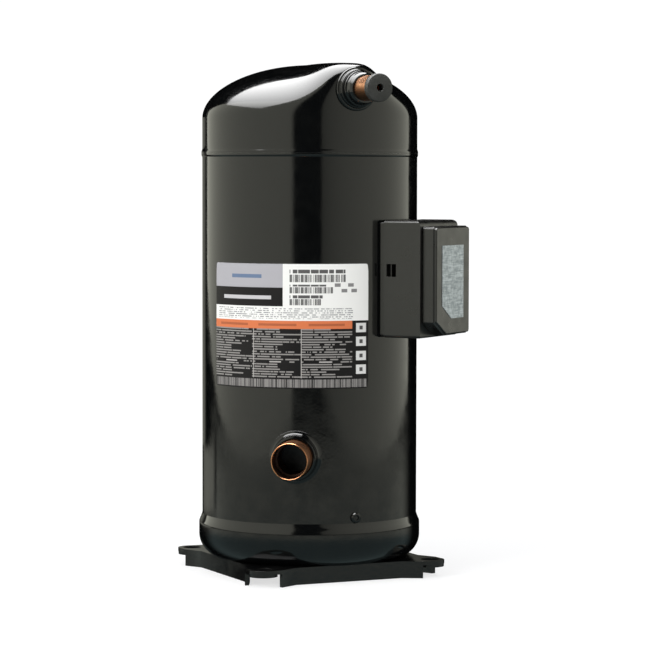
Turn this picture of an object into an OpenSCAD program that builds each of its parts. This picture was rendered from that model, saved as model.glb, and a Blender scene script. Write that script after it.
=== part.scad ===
// Hermetic scroll compressor: welded shell on a pressed base plate, with the
// scroll set, the crank drive and the motor inside it.
// Origin: centre of the base, on the plane that the base plate's flanges stand on.
// -Y is the front, which the discharge fitting faces, and +Z is up.

/* [Shell] */
// Outside diameter of the shell tube
shell_d = 226; // [224:1:228]
// Sheet thickness of the shell tube and the end caps
shell_wall = 4; // [3.5:0.5:4.5]
// Height of the weld between the shell tube and the top cap
seam_z = 440; // [438:1:442]
// Height at which the top cap starts to dome
shoulder_z = 477; // [475:0.5:479]
// Rise of the dome above its shoulder
dome_h = 55.5; // [53:0.5:57]
// Squareness of the dome away from the pod, where 2 is a plain ellipse
dome_square = 1.92; // [1.9:0.02:2.1]
// Squareness of the pod that carries the discharge fitting
pod_square = 12; // [9:0.5:13]
// Angle from the middle of the pod to where it has lost half of its squareness
pod_angle = 12; // [10:0.5:15]
// How much the bottom cup stands proud of the shell tube
cup_proud = 3.4; // [3:0.2:4]

/* [Base plate] */
// Distance between the centres of neighbouring mounting holes
hole_pitch = 190; // [188:0.5:192]
// Diameter of a mounting hole
hole_d = 19; // [17:0.5:20]
// Height of the base plate over its flanges
base_h = 17.5; // [17:0.5:18]
// Sheet thickness of the base plate
base_t = 4; // [3.5:0.5:4]

/* [Fittings] */
// Diameter of the suction line that the suction stub takes
suction_bore = 35.1; // [34.5:0.1:35.6]
// Height of the suction stub
suction_z = 130.5; // [129:0.5:134]
// Angle of the suction stub from the front, seen from above
suction_az = -32; // [-36:1:-28]
// Diameter of the discharge line that the discharge stub takes
discharge_bore = 22.3; // [21.9:0.1:22.8]
// Height of the discharge stub
discharge_z = 505; // [504:0.5:506]

/* [Terminal box] */
// Width of the box body
box_w = 90; // [89:0.5:92]
// Height of the box body
box_h = 120; // [116:1:122]
// Height of the middle of the box
box_z = 311.5; // [310:0.5:313]
// Angle of the box from the front, seen from above
box_az = 37.5; // [35:0.5:40]
// Distance from the shell's axis to the face of the cover
cover_reach = 166.8; // [165:0.1:168]

/* [Scroll set] */
// Radial distance from one turn of a wrap to the next
wrap_pitch = 22; // [21.6:0.1:22.2]
// Thickness of the wraps
wrap_t = 4.4; // [4.3:0.1:4.6]
// Height of the wraps
wrap_h = 40; // [38:1:40]
// Turns of each wrap
wrap_turns = 2.75; // [2.25:0.25:2.75]
// Clearance between the flanks of the wraps
flank_gap = 0.3; // [0.25:0.05:0.5]

/* [Motor] */
// Length of the stator's lamination stack
stack_h = 108; // [100:2:110]
// Radius of the stator's bore
stator_bore_r = 50; // [49.6:0.1:50.4]
// Air gap between the rotor and the stator
air_gap = 0.7; // [0.5:0.1:1]
// Number of winding slots
slot_count = 24; // [18:6:24]

/* [Hidden] */
$fn = 64;

shell_r = shell_d / 2;
shell_in_r = shell_r - shell_wall;
fit = 0.05;              // gap between fixed pieces that touch
run = 0.03;              // radial clearance of a running fit

// Bottom cup: vertical band, then a rounded bottom
cup_r = shell_r + cup_proud;
cup_turn_z = 40;
cup_turn_r = 24;
cup_rim_z = 54;
cup_weld_z = 62;

// Base plate outline: the sides are drawn in between the ears
ear_xy = hole_pitch / 2;
ear_r = 15;
ear_rim = 3;             // the edge of an ear is turned down by this much
side_y = 98.5;
bend_x = 60;
flare_x = 80;
flare_y = 109;

// Fittings
suction_stub_r = suction_bore / 2 + 1.25;
suction_end = shell_r + 46;
discharge_stub_r = discharge_bore / 2 + 1.45;
discharge_collar_r = 21.5;
discharge_end = 164;
socket_depth = 25;
cap_end = 168;
cap_r = 14.3;

// Scroll set stack, from the thrust face up
thrust_z = 378;
orbit_plate_t = 10;
wrap_floor_z = thrust_z + orbit_plate_t;
wrap_top_z = wrap_floor_z + wrap_h;
fixed_plate_t = 18;
fixed_top_z = wrap_top_z + fixed_plate_t;
involute_a = wrap_pitch / (2 * PI);
crank_throw = wrap_pitch / 2 - wrap_t - flank_gap;
wrap_start = 126;        // angle at which the involutes start, in degrees
orbit_plate_r = 78;
ring_in_r = 66;          // Oldham ring
ring_out_r = 76;
key_r = 71;
key_w = 10;
key_l = 14;
bolt_r = 96;             // circle of the four bolts that hold the fixed scroll
pillar_top_z = 400;

// Shaft and bearings
main_r = 19;
lower_r = 15;
rotor_seat_r = 20;
pin_r = 12.5;
pin_slide = 1;           // radial give of the drive bushing
bushing_r = 18.9;
bush_wall = 3;
main_bottom_z = 308;
shaft_bottom_z = 86;
pin_top_z = 374;

// Motor stack
stack_z = 168;
stack_top_z = stack_z + stack_h;
end_turn_h = 24;
end_turn_in_r = 55;
end_turn_out_r = 88;

// Terminal box
box_wall = 3;
box_front = 150.7;
box_back = 118;
cover_top = 54;          // the cover's edges, measured from the middle of the box
cover_foot = -57.5;
terminal_r = 24;
pin_circle = 12;

// Muffler plate
muffler_z = 468;
seal_lift = 1.2;
scroll_lift = 0.8;

// ---------- helpers ----------

// Places children on a radius: z points outwards, y points up, x runs to the right seen from outside.
module radial(az, z) {
    rotate([0, 0, az]) translate([0, 0, z]) rotate([90, 0, 0]) children();
}

module tube(outer, inner, from_z, to_z) {
    translate([0, 0, from_z]) difference() {
        cylinder(r = outer, h = to_z - from_z);
        translate([0, 0, -1]) cylinder(r = inner, h = to_z - from_z + 2);
    }
}

module rod(r, from_z, to_z) {
    translate([0, 0, from_z]) cylinder(r = r, h = to_z - from_z);
}

module block(size_x, size_y, from_z, to_z) {
    translate([-size_x / 2, -size_y / 2, from_z]) cube([size_x, size_y, to_z - from_z]);
}

function turn(p, a) = [p.x * cos(a) - p.y * sin(a), p.x * sin(a) + p.y * cos(a)];

function rounded_rect(w, h, r, n = 5) = [for (c = [[1, 1, 0], [-1, 1, 90], [-1, -1, 180], [1, -1, 270]])
    for (k = [0:n]) [c.x * (w / 2 - r) + r * cos(c.z + k * 90 / n),
                     c.y * (h / 2 - r) + r * sin(c.z + k * 90 / n)]];

// Point of a superellipse with unit half axes at the polar angle psi
function unit_super(n, psi) = let (rho = pow(pow(cos(psi), n) + pow(sin(psi), n), -1 / n))
    [rho * cos(psi), rho * sin(psi)];

// ---------- shell and base ----------

function base_corner() = concat([[bend_x, side_y], [flare_x, flare_y]],
    [for (a = [105:-10:-15]) [ear_xy + ear_r * cos(a), ear_xy + ear_r * sin(a)]],
    [[flare_y, flare_x], [side_y, bend_x]]);

module base_flange() {
    lean = base_t * 1.1;
    linear_extrude(base_h) polygon([[-flare_x, flare_y], [-bend_x, side_y], [bend_x, side_y],
        [flare_x, flare_y], [flare_x + 1, flare_y - lean], [bend_x, side_y - base_t],
        [-bend_x, side_y - base_t], [-flare_x - 1, flare_y - lean]]);
}

module base_plate() {
    color("#1b1b1a") difference() {
        union() {
            translate([0, 0, base_h - base_t]) linear_extrude(base_t)
                polygon([for (k = [0:3]) each [for (p = base_corner()) turn(p, -90 * k)]]);
            for (k = [0:3]) rotate(90 * k) {
                base_flange();
                translate([ear_xy, ear_xy, 0]) tube(ear_r - 0.4, ear_r - 3, base_h - base_t - ear_rim, base_h - 1);
            }
        }
        rotate_extrude() polygon(concat([[0, cup_turn_z]], cup_outline(cup_r + fit, cup_turn_r + fit)));
        for (k = [0:3]) rotate(90 * k) translate([ear_xy, ear_xy, -1]) cylinder(d = hole_d, h = base_h + 2);
    }
}

// Half section of the bottom cup's turn, from the vertical band of radius r down to the flat bottom
function cup_outline(r, turn_r) = concat([for (k = [0:9])
    [r - turn_r + turn_r * cos(k * 10), cup_turn_z - turn_r * sin(k * 10)]], [[0, cup_turn_z - turn_r]]);

module bottom_cup() {
    inner = cup_outline(cup_r - shell_wall, cup_turn_r - shell_wall);
    color("#1b1b1a") rotate_extrude() polygon(concat(
        [[shell_r + fit, cup_weld_z], [cup_r, cup_rim_z]],
        cup_outline(cup_r, cup_turn_r),
        [for (k = [len(inner) - 1:-1:0]) inner[k]],
        [[shell_r + fit, cup_turn_z]]));
}

module shell_tube() {
    bead = 1;            // the weld bead stands this far proud
    color("#1b1b1a") difference() {
        rotate_extrude() polygon([[shell_in_r, cup_turn_z + 0.5], [shell_r, cup_turn_z + 0.5],
            [shell_r, seam_z - 3.6], [shell_r + 0.7 * bead, seam_z - 3], [shell_r + bead, seam_z - 1.8],
            [shell_r + 0.7 * bead, seam_z - 0.6], [shell_r, seam_z], [shell_in_r, seam_z]]);
        radial(suction_az, suction_z) rod(suction_stub_r + fit, 80, 130);
        radial(box_az, box_z) rod(terminal_r + fit, 80, 130);
        radial(0, oil_port_z) rod(oil_port_r, 80, 130);
    }
}

// Angles of the cap's meridians from the front: close together round the pod
cap_angles = concat([for (a = [-30:2.5:27.5]) a], [for (a = [30:7.5:322.5]) a]);
cap_steps = len(cap_angles);
cap_rings = 14;

// Squareness of the meridian at the angle az from the front
function squareness(az) = let (d = abs(az) < 180 ? abs(az) : 360 - abs(az))
    dome_square + (pod_square - dome_square) / (1 + pow(d / pod_angle, 3));

function cap_point(az, psi, r, h) = let (p = unit_super(squareness(az), psi))
    [r * p.x * sin(az), -r * p.x * cos(az), shoulder_z + h * p.y];

function cap_surface(r, h, foot_z) = concat(
    [for (az = cap_angles) [r * sin(az), -r * cos(az), foot_z]],
    [for (j = [0:cap_rings - 1]) for (az = cap_angles) cap_point(az, j * 90 / cap_rings, r, h)],
    [[0, 0, shoulder_z + h]]);

// The faces of a cap surface whose first point is at index first, turned inside out if flip is true
function cap_faces(first, flip) = let (last = first + (cap_rings + 1) * cap_steps) concat(
    [for (j = [0:cap_rings - 1]) for (k = [0:cap_steps - 1])
        let (a = first + j * cap_steps + k, b = first + j * cap_steps + (k + 1) % cap_steps)
        each (flip ? [[a, b, b + cap_steps], [a, b + cap_steps, a + cap_steps]]
                   : [[a, b + cap_steps, b], [a, a + cap_steps, b + cap_steps]])],
    [for (k = [0:cap_steps - 1])
        let (a = last - cap_steps + k, b = last - cap_steps + (k + 1) % cap_steps)
        flip ? [a, b, last] : [a, last, b]]);

module top_cap() {
    count = (cap_rings + 1) * cap_steps + 1;
    rim = [for (k = [0:cap_steps - 1]) let (a = k, b = (k + 1) % cap_steps)
        each [[a, b, b + count], [a, b + count, a + count]]];
    color("#1b1b1a") difference() {
        polyhedron(points = concat(cap_surface(shell_r, dome_h, seam_z + fit),
                cap_surface(shell_in_r + 0.3, dome_h - shell_wall, seam_z + fit)),
            faces = concat(cap_faces(0, false), cap_faces(count, true), rim), convexity = 4);
        radial(0, discharge_z) rod(discharge_collar_r, 80, 130);
    }
}

oil_port_z = 67.7;
oil_port_r = 4;
module oil_port_plug() {
    color("#1b1b1a") radial(0, oil_port_z) difference() {
        union() {
            rod(oil_port_r - fit, shell_in_r, shell_r + 1);
            difference() {
                rod(5.5, shell_r - 0.2, shell_r + 3);
                rotate([-90, 0, 0]) translate([0, 0, -20]) cylinder(r = shell_r + fit, h = 40, $fn = 200);
            }
        }
        rod(2, shell_r + 1.5, shell_r + 4);
    }
}

label_w_angle = 90;
label_az = -37.7;
label_z = 200.5;
label_h = 127;
module rating_label() {
    color("white") translate([0, 0, label_z]) rotate([0, 0, label_az - 90 - label_w_angle / 2])
        rotate_extrude(angle = label_w_angle) translate([shell_r + 0.02, 0]) square([0.3, label_h]);
}

// ---------- fittings ----------

module suction_collar() {
    foot_r = 27;
    top_r = 23;
    rise = 4;
    lip = 9;
    color("#1b1b1a") difference() {
        radial(suction_az, suction_z) difference() {
            union() {
                rotate_extrude() polygon(concat([[0, 90], [foot_r, 90]],
                    [for (k = [0:6]) [top_r + (foot_r - top_r) * (1 - sin(k * 15)),
                                      shell_r - 5.4 + (rise + 5.4) * (1 - cos(k * 15))]],
                    [[0, shell_r + rise]]));
                rod(top_r, shell_r, shell_r + rise + lip);
            }
            rod(suction_stub_r + fit, 80, shell_r + 20);
        }
        rod(shell_r + fit, 60, 220, $fn = 200);
    }
}

module suction_stub() {
    color("#b87333") radial(suction_az, suction_z) difference() {
        rod(suction_stub_r, shell_in_r - 8, suction_end);
        rod(suction_bore / 2, suction_end - socket_depth, suction_end + 1);
        rod(suction_bore / 2 - 2, shell_in_r - 9, suction_end);
    }
}

module suction_deflector() {
    half_w = 28;
    half_h = 16;
    plate_r = 92;
    color("silver") difference() {
        radial(suction_az, suction_z) difference() {
            block(2 * half_w, 2 * half_h, plate_r, shell_in_r + 2);
            block(2 * half_w - 4, 2 * half_h + 2, plate_r + 2, shell_in_r + 3);
        }
        tube(shell_r + 20, shell_in_r - fit, 60, 220, $fn = 200);
    }
}

module discharge_collar() {
    color("#1b1b1a") radial(0, discharge_z) difference() {
        union() {
            rod(discharge_collar_r - fit, 97, 117);
            rod(18.6, 116, 127);
            rod(16.6, 126, 134.5);
        }
        rod(discharge_stub_r + fit, 90, 140);
    }
}

module discharge_stub() {
    color("#b87333") radial(0, discharge_z) difference() {
        rod(discharge_stub_r, 97, discharge_end);
        rod(discharge_bore / 2, discharge_end - socket_depth, discharge_end + 1);
        rod(discharge_bore / 2 - 1.8, 96, discharge_end);
    }
}

module discharge_dust_cap() {
    color("#2b2b2b") radial(0, discharge_z) difference() {
        rod(cap_r, cap_end - 8, cap_end);
        rod(discharge_stub_r + run, cap_end - 9, discharge_end + 0.2);
        rod(3.7, discharge_end - 1, cap_end + 1);
    }
}

// ---------- scroll set ----------

// A point of the wrap's outer (side 1) or inner (side -1) flank at the involute angle phi, in degrees
function flank(phi, side) = let (half = side * wrap_t / (2 * involute_a), t = phi * PI / 180 + half)
    [involute_a * (cos(phi) + t * sin(phi)), involute_a * (sin(phi) - t * cos(phi))];

module wrap(from_z, to_z) {
    step = 5;
    wrap_end = wrap_start + wrap_turns * 360;
    translate([0, 0, from_z]) linear_extrude(to_z - from_z) polygon(concat(
        [for (phi = [wrap_start:step:wrap_end]) flank(phi, 1)],
        [for (phi = [wrap_end:-step:wrap_start]) flank(phi, -1)]));
}

module four_bolts() {
    for (k = [0:3]) rotate(45 + 90 * k) translate([bolt_r, 0, 0]) children();
}

module fixed_scroll() {
    color("darkgray") difference() {
        union() {
            rod(99, wrap_top_z, fixed_top_z);
            wrap(wrap_floor_z + fit, wrap_top_z + 1);
            four_bolts() rod(8.5, pillar_top_z + fit, fixed_top_z);
            tube(24, 18, fixed_top_z - 1, fixed_top_z + 16);
            tube(70, 62, fixed_top_z - 1, fixed_top_z + 16);
        }
        rod(9, wrap_top_z - 1, fixed_top_z + 1);
        four_bolts() rod(5 + run, pillar_top_z - 1, fixed_top_z + 1);
    }
}

module orbiting_scroll() {
    hub_r = 25;
    pocket_w = key_w + 4 * crank_throw + 1;
    color("darkgray") translate([crank_throw, 0, 0]) difference() {
        union() {
            rod(orbit_plate_r, thrust_z + fit, wrap_floor_z);
            rotate(180) wrap(wrap_floor_z - 1, wrap_top_z - fit);
            rod(hub_r, thrust_z - 27, thrust_z + 1);
        }
        rod(bushing_r + bush_wall + fit, thrust_z - 28, thrust_z + 2);
        for (k = [-1, 1]) translate([-pocket_w / 2, k * key_r - 21, thrust_z - 1])
            cube([pocket_w, 42, 7.5]);
    }
}

module orbiting_scroll_bush() {
    color("#a97142") translate([crank_throw, 0, 0])
        tube(bushing_r + bush_wall, bushing_r + run, thrust_z - 26.5, thrust_z + 1.5);
}

module oldham_ring() {
    color("lightgray") translate([crank_throw, 0, 0]) {
        tube(ring_out_r, ring_in_r, thrust_z - 11.5, thrust_z - 0.5);
        for (k = [-1, 1]) {
            translate([k * key_r, 0, 0]) block(key_l, key_w, thrust_z - 16.5, thrust_z - 11);
            translate([0, k * key_r, 0]) block(key_w, key_l, thrust_z - 1, thrust_z + 6);
        }
    }
}

module floating_seal() {
    color("#b0a080") {
        tube(62 - run, 24 + run, fixed_top_z + 3, fixed_top_z + 14);
        tube(33, 28, fixed_top_z + 13, muffler_z - seal_lift - scroll_lift - fit);
    }
}

module discharge_valve_disc() {
    color("silver") rod(13, fixed_top_z + fit, fixed_top_z + 2);
}

module valve_retainer() {
    color("silver") difference() {
        rod(18 - fit, fixed_top_z + 6, fixed_top_z + 9);
        for (k = [0:2]) rotate(120 * k) translate([11, 0, 0]) rod(4, fixed_top_z + 5, fixed_top_z + 10);
    }
}

module scroll_guide_sleeves() {
    color("silver") four_bolts() tube(5, 3.6, pillar_top_z + fit, fixed_top_z + scroll_lift + 0.2);
}

module scroll_bolts() {
    head_z = fixed_top_z + scroll_lift + 0.2 + fit;
    color("dimgray") four_bolts() difference() {
        union() {
            rod(3.5, pillar_top_z - 18, head_z + 1);
            rod(6.5, head_z, head_z + 6);
        }
        translate([0, 0, head_z + 2.5]) cylinder(r = 3.2, h = 5, $fn = 6);
    }
}

module main_bearing_housing() {
    pad_w = 34;
    color("gray") difference() {
        union() {
            rod(33, main_bottom_z, thrust_z - 34);
            rod(46, thrust_z - 40, thrust_z - 27);
            rod(100, thrust_z - 28, thrust_z - 12);
            rod(58, thrust_z - 13, thrust_z);
            four_bolts() rod(9.5, thrust_z - 13, pillar_top_z);
            intersection() {
                rod(shell_in_r - fit, thrust_z - 28, thrust_z - 8, $fn = 128);
                for (k = [0:3]) rotate(45 + 90 * k) translate([92, -pad_w / 2, thrust_z - 29])
                    cube([20, pad_w, 40]);
            }
        }
        rod(main_r + bush_wall, main_bottom_z - 1, thrust_z);
        rod(33.5, thrust_z - 32, thrust_z + 1);
        for (k = [-1, 1]) translate([k * key_r, 0, 0])
            block(key_l + 2 * crank_throw + 1, key_w + 0.1, thrust_z - 17.5, thrust_z - 10.5);
        four_bolts() rod(3.5 + fit, pillar_top_z - 20, pillar_top_z + 1);
        for (k = [0:3]) rotate(90 * k) translate([80, 26, 0]) rod(9, thrust_z - 30, thrust_z);
    }
}

module main_bearing_bush() {
    color("#a97142") tube(main_r + bush_wall - fit, main_r + run, main_bottom_z, thrust_z - 32);
}

// ---------- crank drive ----------

module crankshaft() {
    color("#8c8c90") difference() {
        union() {
            rod(main_r, stack_top_z + 6, thrust_z - 30);
            rod(rotor_seat_r, stack_z - 6, stack_top_z + 7);
            rod(lower_r, shaft_bottom_z + run, stack_z - 5);
            translate([crank_throw, 0, 0]) rod(pin_r, thrust_z - 31, pin_top_z);
        }
        translate([5, 0, 0]) rod(3.5, shaft_bottom_z - 1, pin_top_z + 1);
        rod(8 + fit, shaft_bottom_z - 1, shaft_bottom_z + 10);
    }
}

module drive_bushing() {
    slot_r = pin_r + run;
    color("#6d6d72") translate([crank_throw, 0, 0]) difference() {
        rod(bushing_r, thrust_z - 26, thrust_z - 2);
        rod(slot_r, thrust_z - 27, thrust_z - 1);
        translate([pin_slide, 0, 0]) rod(slot_r, thrust_z - 27, thrust_z - 1);
        translate([0, -slot_r, thrust_z - 27]) cube([pin_slide, 2 * slot_r, 26]);
    }
}

module oil_pickup_tube() {
    color("silver") difference() {
        union() {
            rod(8, 50, shaft_bottom_z + 10 - fit);
            translate([0, 0, 38]) cylinder(r1 = 5, r2 = 8, h = 12.01);
        }
        rod(6.5, 50, shaft_bottom_z + 11);
        rod(3, 37, 51);
    }
}

// Half of a ring, on the side away from the crank pin if side is -1
module half_ring(outer, inner, from_z, to_z, side) {
    intersection() {
        tube(outer, inner, from_z, to_z);
        translate([side > 0 ? 0 : -outer - 1, -outer - 1, from_z - 1])
            cube([outer + 1, 2 * outer + 2, to_z - from_z + 2]);
    }
}

module upper_counterweight() {
    color("#7a7a7a") {
        tube(26, main_r + fit, main_bottom_z - 18, main_bottom_z - 10);
        half_ring(44, 24, main_bottom_z - 18, main_bottom_z - 2, -1);
    }
}

module lower_counterweight() {
    color("#7a7a7a") half_ring(45, 27, stack_z - 22, stack_z - 8 - fit, 1);
}

module rotor_core() {
    color("#9a9a9a") tube(stator_bore_r - air_gap, rotor_seat_r + fit, stack_z, stack_top_z);
}

module rotor_end_rings() {
    color("#cfd2d4") {
        tube(46, 26, stack_z - 8, stack_z - fit);
        tube(46, 26, stack_top_z + fit, stack_top_z + 8);
    }
}

// ---------- motor stator ----------

module stator_core() {
    slot_w = 8;
    color("#8f8f8f") difference() {
        tube(shell_in_r - fit, stator_bore_r, stack_z, stack_top_z, $fn = 128);
        for (k = [0:slot_count - 1]) rotate(k * 360 / slot_count) {
            translate([end_turn_in_r - 1, -slot_w / 2, stack_z - 1])
                cube([28, slot_w, stack_h + 2]);
            translate([stator_bore_r - 2, -1.5, stack_z - 1]) cube([8, 3, stack_h + 2]);
        }
        for (k = [0:5]) rotate(60 * k) translate([shell_in_r - 5, -8, stack_z - 1])
            cube([8, 16, stack_h + 2]);
    }
}

module end_turn(from_z, to_z) {
    edge = 7;
    rotate_extrude() polygon([[end_turn_in_r, from_z], [end_turn_out_r, from_z],
        [end_turn_out_r, to_z - sign(to_z - from_z) * edge],
        [end_turn_out_r - edge, to_z], [end_turn_in_r + edge, to_z],
        [end_turn_in_r, to_z - sign(to_z - from_z) * edge]]);
}

module stator_winding() {
    bar_w = 7.6;
    color("#b5602a") {
        end_turn(stack_z - fit, stack_z - end_turn_h);
        end_turn(stack_top_z + fit, stack_top_z + end_turn_h);
        for (k = [0:slot_count - 1]) rotate(k * 360 / slot_count)
            translate([end_turn_in_r, -bar_w / 2, stack_z - 1]) cube([26, bar_w, stack_h + 2]);
    }
}

module motor_protector() {
    color("#303030") rotate(130) translate([72, 0, 0])
        rod(12, stack_top_z + end_turn_h + fit, stack_top_z + end_turn_h + 12);
}

// ---------- lower bearing and sump ----------

module lower_bearing_bracket() {
    color("gray") difference() {
        union() {
            rod(24, 78, 114);
            intersection() {
                rod(shell_in_r - fit, 70, 120, $fn = 128);
                for (k = [0:2]) rotate(90 + 120 * k) {
                    translate([18, -12, 84]) cube([100, 24, 10]);
                    translate([100, -16, 84]) cube([20, 32, 26]);
                }
            }
        }
        rod(lower_r + bush_wall + fit, shaft_bottom_z - 2, 115);
        rod(10, 77, shaft_bottom_z);
    }
}

module lower_bearing_bush() {
    color("#a97142") tube(lower_r + bush_wall, lower_r + run, shaft_bottom_z + 0.5, 114);
}

module thrust_washer() {
    color("#c9b458") tube(17.5, 10, shaft_bottom_z - 2 + fit, shaft_bottom_z);
}

module sump_magnet() {
    floor_z = cup_turn_z - cup_turn_r + shell_wall;
    color("#303030") tube(26, 16, floor_z + fit, floor_z + 6);
}

// ---------- terminal ----------

module three_pins() {
    for (k = [0:2]) rotate(90 + 120 * k) translate([pin_circle, 0, 0]) children();
}

module terminal_body() {
    color("silver") radial(box_az, box_z) difference() {
        union() {
            rod(terminal_r, shell_in_r - 5, shell_r + 2);
            rod(terminal_r - 3, shell_r + 1, shell_r + 5);
        }
        three_pins() rod(4.6, 90, 130);
    }
}

module terminal_glass() {
    color("#3a5a4a") radial(box_az, box_z)
        three_pins() tube(4.6 - fit, 1.6 + fit, shell_in_r - 3, shell_r + 4);
}

module terminal_pins() {
    color("#c9b458") radial(box_az, box_z) three_pins() {
        rod(1.6, shell_in_r - 14, shell_r + 13);
    }
}

module terminal_block() {
    color("#20201f") radial(box_az, box_z) difference() {
        union() {
            translate([0, 0, box_back + 1]) linear_extrude(14) polygon(rounded_rect(50, 46, 6));
            for (k = [0:2]) rotate(90 + 120 * k + 60) translate([0, -1, box_back + 14])
                cube([22, 2, 7]);
        }
        three_pins() rod(1.6 + 0.2, box_back, shell_r + 13.3);
        three_pins() rod(3 + fit, shell_r + 15, box_back + 16);
    }
}

module terminal_screws() {
    color("#c9b458") radial(box_az, box_z) three_pins() difference() {
        union() {
            rod(3, shell_r + 15 + fit, box_back + 16);
            rod(5.2, box_back + 15 + fit, box_back + 19);
        }
        block(1.2, 12, box_back + 17.5, box_back + 20);
    }
}

module lead_plug() {
    color("#e8e4d8") radial(box_az, box_z) difference() {
        translate([0, 0, 90]) linear_extrude(11) polygon(rounded_rect(38, 34, 5));
        three_pins() rod(1.6 + 0.2, shell_in_r - 15, shell_in_r);
    }
}

module motor_leads() {
    lead_r = 2.2;
    for (k = [-1:1]) color(["#222222", "#b02020", "#204080"][k + 1])
        rotate([0, 0, box_az + 7 * k]) {
            translate([0, -76, stack_top_z + end_turn_h + fit]) cylinder(r = lead_r, h = 14);
            translate([0, -76, stack_top_z + end_turn_h + 11]) rotate([90, 0, 0])
                cylinder(r = lead_r - 0.3, h = 13.9);
        }
}

// ---------- terminal box ----------

module terminal_box() {
    conduit_r = 11.25;
    conduit_x = -18;     // off the middle, so that a conduit passes clear of the base plate
    foot_inset = 1.6;
    foot_reach = 5;
    color("#242423") difference() {
        radial(box_az, box_z) difference() {
            intersection() {
                translate([0, 0, 90]) linear_extrude(box_front - 90) polygon(rounded_rect(box_w, box_h, 3));
                translate([-box_w, 0, 0]) rotate([90, 0, 90]) linear_extrude(2 * box_w) polygon(box_side());
            }
            translate([0, 0, box_back]) linear_extrude(box_front - box_wall - box_back)
                polygon(rounded_rect(box_w - 2 * box_wall, box_h - 2 * box_wall, 2));
            translate([0, 0, box_front - box_wall - 1]) linear_extrude(box_wall + 2)
                polygon(cover_outline(3.5));
            rod(terminal_r + 3, 80, box_back + 1);
            for (r = [box_slot_r, box_slot_r + 5.8]) translate([-box_w / 2 - 1, 2.5, r])
                cube([9, 13, 4.9]);
            for (s = [-1, 1]) translate([34 * s, 50 * s, 0]) rod(2.6, 80, box_back + 1);
            translate([-34, 50, 0]) rod(2.6, 80, box_back + 1);
            translate([conduit_x, 0, 135]) rotate([90, 0, 0]) cylinder(r = conduit_r, h = 100);
        }
        rod(shell_r + 0.4, 200, 400, $fn = 200);
        difference() {       // the foot of the box stands back all round, next to the shell
            rod(shell_r + foot_reach, 200, 400, $fn = 200);
            radial(box_az, box_z) translate([0, 0, 80]) linear_extrude(60)
                polygon(rounded_rect(box_w - 2 * foot_inset, box_h - 2 * foot_inset, 2));
        }
    }
}
box_slot_r = 112.5;      // distance of the first latch window from the axis

module box_gasket() {
    color("#333333") radial(box_az, box_z) tube(terminal_r + 3 - fit, terminal_r - 2, box_back - 2, box_back);
}

module box_screw() {
    rod(2.6 - fit, 100, box_back + 1);
    difference() {
        rod(5, box_back + fit, box_back + 3.2);
        block(1.2, 12, box_back + 2, box_back + 4);
    }
}

module box_screws() {
    color("silver") difference() {
        radial(box_az, box_z) for (s = [-1, 1]) translate([34 * s, 50 * s, 0]) box_screw();
        rod(shell_r + fit, 200, 400, $fn = 200);
    }
}

module ground_screw() {
    color("#3f8f4f") difference() {
        radial(box_az, box_z) translate([-34, 50, 0]) box_screw();
        rod(shell_r + fit, 200, 400, $fn = 200);
    }
}

// Cover outline, with its lower corner on the side of the latch windows cut off
// Side view of the box body: its front edges are rounded, down to the cover above and below
function box_side() = let (brow = box_h / 2 - cover_top, chin = box_h / 2 + cover_foot - 0.1)
    concat([[-box_h / 2, 80]],
        [for (a = [0:15:90]) [-box_h / 2 + chin * (1 - cos(a)), box_front - chin * (1 - sin(a))]],
        [for (a = [0:15:90]) [box_h / 2 - brow * (1 - sin(a)), box_front - brow * (1 - cos(a))]],
        [[box_h / 2, 80]]);

function cover_outline(inset) = let (w = box_w / 2 - 4.4 - inset, top = cover_top - inset,
    foot = cover_foot + inset, cut = inset / 3)
    [[-w + 2, top], [-w, top - 2], [-w, foot + 13.5 - cut], [-w + 24 - cut, foot], [w - 2, foot],
     [w, foot + 2], [w, top - 2], [w - 2, top]];

module terminal_cover() {
    tongue = 6;
    edge = 3;
    color("#242423") radial(box_az, box_z) difference() {
        union() {
            translate([0, 0, box_front + fit]) linear_extrude(cover_reach - edge - box_front - fit)
                polygon(cover_outline(0));
            translate([0, 0, cover_reach - edge - 0.01]) linear_extrude(edge + 0.01)
                polygon(cover_outline(1.2));
            translate([0, 0, box_front - tongue]) linear_extrude(tongue + 1)
                polygon(cover_outline(3.8));
        }
        translate([0, 0, box_front - tongue - 1]) linear_extrude(cover_reach - box_front + tongue - 1.8)
            polygon(cover_outline(6.3));
    }
}

module cover_plate() {
    w = 51;
    h = 75;
    color("#9aa0a2") radial(box_az, box_z) translate([-1.5, -3, cover_reach + 0.02]) linear_extrude(0.5)
        polygon([[-w / 2, h / 2], [-w / 2, -h / 2 + 13.5], [-w / 2 + 22, -h / 2], [w / 2, -h / 2],
            [w / 2, h / 2]]);
}

// ---------- muffler plate ----------

module muffler_plate() {
    t = 4;
    color("gray") rotate_extrude() polygon([[20, muffler_z], [78, muffler_z], [shell_in_r - fit - t, 456],
        [shell_in_r - fit - t, seam_z - 6], [shell_in_r - fit, seam_z - 6],
        [shell_in_r - fit, 457.5], [80, muffler_z + t], [20, muffler_z + t]]);
}

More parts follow.
